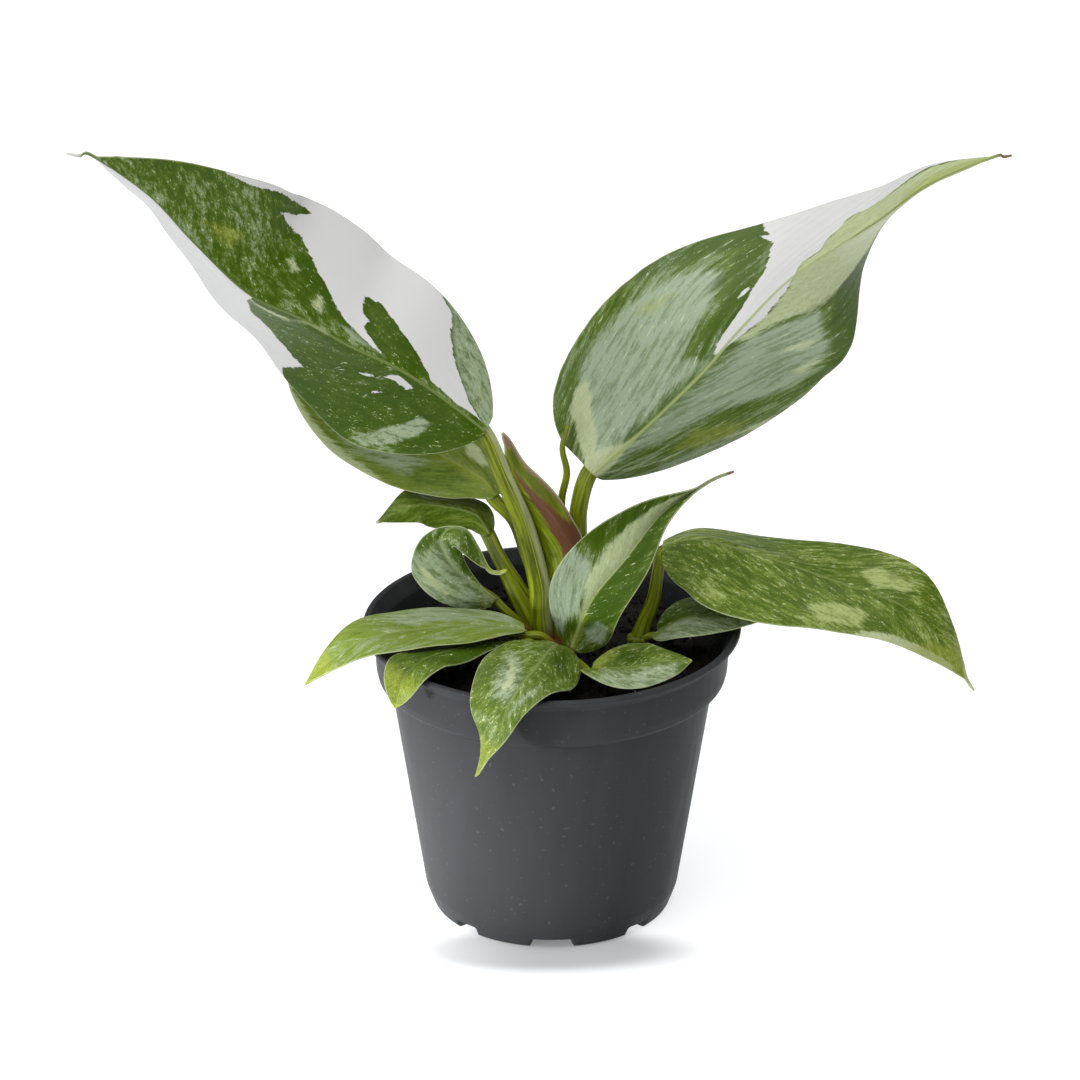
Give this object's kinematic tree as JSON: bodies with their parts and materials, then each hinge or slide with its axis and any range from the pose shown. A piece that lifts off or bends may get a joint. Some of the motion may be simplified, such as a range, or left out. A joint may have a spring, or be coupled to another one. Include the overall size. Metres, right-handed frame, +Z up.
{
  "type": "potted white princess philodendron",
  "caption": "Young variegated philodendron with broad, arching white-and-green leaves, rooted in dark soil in a round grey plastic nursery pot.",
  "frame": {"origin": "middle of the pot's underside, on the surface that it stands on", "axes": "+Z up along the pot's axis, +X to the viewer's right along the spread of the two large leaves, +Y away from the viewer"},
  "size_m": [0.2879, 0.1273, 0.259],
  "materials": {
    "pot": "satin",
    "soil": "matte",
    "stem": "satin",
    "large_leaf": "satin",
    "small_leaf": "satin",
    "sheath": "satin"
  },
  "bodies": {
    "root": {"pot": "pot", "soil": "soil", "stem_main": "stem", "stem_front": "stem", "stem_right": "stem", "leaf_upper_left": "large_leaf", "leaf_upper_right": "large_leaf", "leaf_behind": "large_leaf", "leaf_front_upright": "large_leaf", "leaf_right": "large_leaf", "leaf_low_right": "small_leaf", "leaf_small_front_right": "small_leaf", "leaf_small_front": "small_leaf", "leaf_long_left": "small_leaf", "leaf_low_left": "small_leaf", "leaf_top_left_small": "small_leaf", "leaf_curled_left": "small_leaf", "sheath": "sheath", "leaf_spike": "sheath"}
  },
  "joints": []
}
